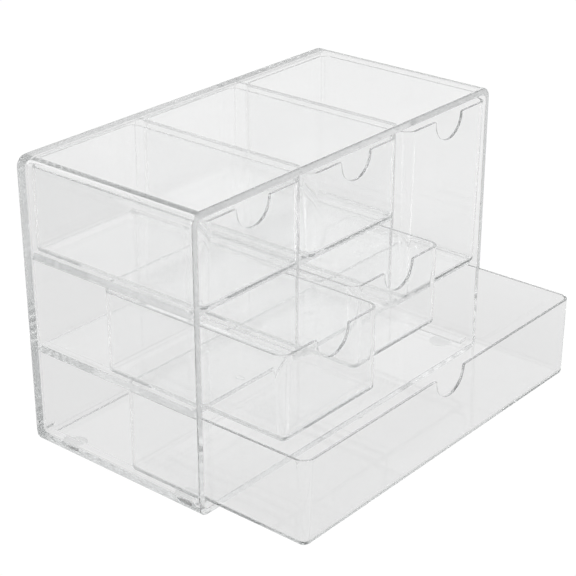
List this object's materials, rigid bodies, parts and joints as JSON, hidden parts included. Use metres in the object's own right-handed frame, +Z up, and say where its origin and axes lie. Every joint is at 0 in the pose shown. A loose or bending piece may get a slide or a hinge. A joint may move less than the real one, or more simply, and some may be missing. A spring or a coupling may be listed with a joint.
{
  "type": "desktop drawer organizer",
  "caption": "Clear plastic desktop organizer: an open-fronted housing with shelves and dividers, and pull-out drawers with finger notches.",
  "frame": {"origin": "on the surface that the organizer stands on, under the middle of all that it covers from above with its drawers drawn out as they are; the housing's front edge lies 35.2 mm in front of it and the back 115.1 mm behind it", "axes": "+X to the right seen from the front, +Y from the open front to the closed back, +Z up"},
  "size_m": [0.3036, 0.2302, 0.2051],
  "materials": {
    "housing_plastic": "clear, polished",
    "drawer_plastic": "clear, polished",
    "foot_silicone": "clear, soft satin"
  },
  "bodies": {
    "housing": {"housing_shell": "housing_plastic", "lower_shelf": "housing_plastic", "upper_shelf": "housing_plastic", "divider_left": "housing_plastic", "divider_right": "housing_plastic", "foot_front_left": "foot_silicone", "foot_front_right": "foot_silicone", "foot_rear_left": "foot_silicone", "foot_rear_right": "foot_silicone"},
    "top_left": {"drawer_top_left": "drawer_plastic"},
    "top_middle": {"drawer_top_middle": "drawer_plastic"},
    "mid_left": {"drawer_mid_left": "drawer_plastic"},
    "mid_middle": {"drawer_mid_middle": "drawer_plastic"},
    "tall_right": {"drawer_tall_right": "drawer_plastic"},
    "bottom_wide": {"drawer_bottom_wide": "drawer_plastic"}
  },
  "joints": [
    {"name": "top_left_slide", "type": "slide", "parent": "housing", "child": "top_left", "axis": [0, -1, 0], "range_m": [-0.0008, 0.0992]},
    {"name": "top_middle_slide", "type": "slide", "parent": "housing", "child": "top_middle", "axis": [0, -1, 0], "range_m": [-0.0008, 0.0992]},
    {"name": "mid_left_slide", "type": "slide", "parent": "housing", "child": "mid_left", "axis": [0, -1, 0], "range_m": [-0.0619, 0.0381]},
    {"name": "mid_middle_slide", "type": "slide", "parent": "housing", "child": "mid_middle", "axis": [0, -1, 0], "range_m": [-0.0365, 0.0635]},
    {"name": "tall_right_slide", "type": "slide", "parent": "housing", "child": "tall_right", "axis": [0, -1, 0], "range_m": [-0.0008, 0.0992]},
    {"name": "bottom_wide_slide", "type": "slide", "parent": "housing", "child": "bottom_wide", "axis": [0, -1, 0], "range_m": [-0.0784, 0.0216]}
  ]
}
